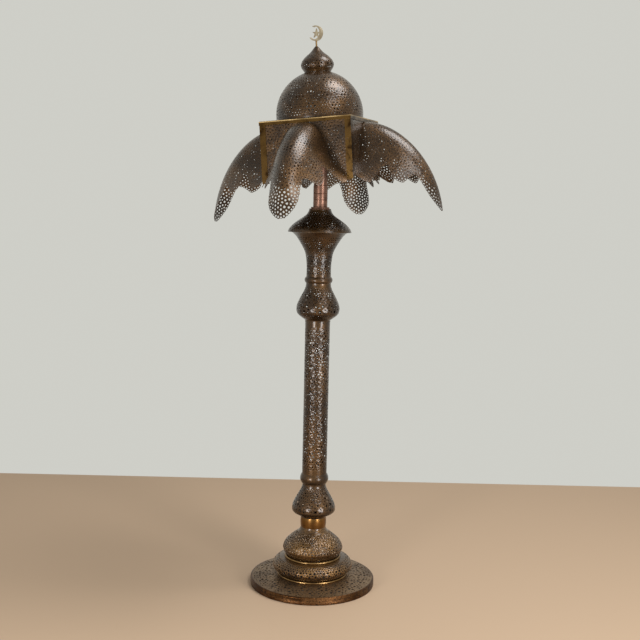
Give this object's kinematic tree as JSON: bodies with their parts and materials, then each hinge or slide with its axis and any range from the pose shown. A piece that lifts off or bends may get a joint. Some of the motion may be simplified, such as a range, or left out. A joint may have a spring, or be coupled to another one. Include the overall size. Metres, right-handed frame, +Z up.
{
  "type": "floor lamp",
  "caption": "Floor lamp with a pierced brass pole of turned shells on a round stepped base, and a square domed lantern with four drooping leaf hoods, onion finial, crescent and star.",
  "frame": {"origin": "centre of the base's underside, on the floor, on the axis of the pole", "axes": "+Z up along the pole; -Y towards the front leaf of the lantern; +X towards the right leaf"},
  "size_m": [0.7844, 0.7856, 1.848],
  "materials": {
    "pierced_brass": "brown patinated pierced sheet, satin",
    "leaf_brass": "warm brown patinated pierced sheet, satin",
    "base_brass": "brown patinated spun sheet, satin",
    "bright_brass": "rubbed bright brass",
    "pale_brass": "pale rubbed brass",
    "copper": "pinkish copper, satin",
    "steel": "plated",
    "iron": "rough cast",
    "felt": "dark felt",
    "bush_plastic": "black",
    "key_plastic": "black",
    "porcelain": "glazed porcelain",
    "bulb_glass": "clear",
    "filament": "glass stem and filament"
  },
  "bodies": {
    "stand": {"felt_pad": "felt", "bottom_plate": "steel", "plate_screws": "steel", "ballast_weight": "iron", "cord_bush": "bush_plastic", "bush_nut": "steel", "base_disc": "base_brass", "base_bead": "bright_brass", "step_ring": "pierced_brass", "step_bead": "bright_brass", "bell": "pierced_brass", "neck_collar": "bright_brass", "lower_pear": "pierced_brass", "pole_foot_ring": "pierced_brass", "pole_disc_lower": "steel", "pole_tube": "pierced_brass", "pole_disc_upper": "pierced_brass", "upper_pear": "pierced_brass", "upper_ring": "pierced_brass", "trumpet": "pierced_brass", "cap": "pierced_brass", "stem_collar": "copper", "tie_rod": "steel", "rod_nuts": "bright_brass", "rod_washers": "bright_brass", "rod_coupling": "bright_brass", "stem_sleeve_low": "copper", "stem_sleeve_mid": "copper", "stem_sleeve_ring": "copper", "stem_sleeve_top": "copper", "ball_seat": "copper", "nipple": "steel", "holder_cap": "bright_brass", "holder_shell": "bright_brass", "holder_core": "porcelain", "screw_shell": "copper", "centre_contact": "copper"},
    "lantern": {"spider": "leaf_brass", "spider_rivets": "leaf_brass", "corner_strips": "bright_brass", "top_frame": "bright_brass", "face_panels": "leaf_brass", "leaf_right": "leaf_brass", "leaf_back": "leaf_brass", "leaf_left": "leaf_brass", "leaf_front": "leaf_brass", "roof_plate": "leaf_brass", "dome": "pierced_brass", "onion": "pierced_brass", "finial_rod": "bright_brass", "finial_nut": "bright_brass", "crescent": "pale_brass", "star": "pale_brass"},
    "key": {"switch_key": "key_plastic"},
    "bulb": {"bulb_cap": "steel", "bulb_glass": "bulb_glass", "bulb_filament": "filament"}
  },
  "joints": [
    {"name": "lantern_swivel", "type": "hinge", "parent": "stand", "child": "lantern", "pos_m": [0, 0, 1.4498], "axis": [-0.066, -0.0227, 0.9976], "continuous": true},
    {"name": "key_turn", "type": "hinge", "parent": "stand", "child": "key", "pos_m": [-0.00061, -0.00159, 1.51969], "axis": [0.9978, -0.0008, 0.066], "continuous": true},
    {"name": "bulb_unscrew", "type": "slide", "parent": "stand", "child": "bulb", "axis": [-0.066, -0.0227, 0.9976], "range_m": [0, 0.03]}
  ]
}
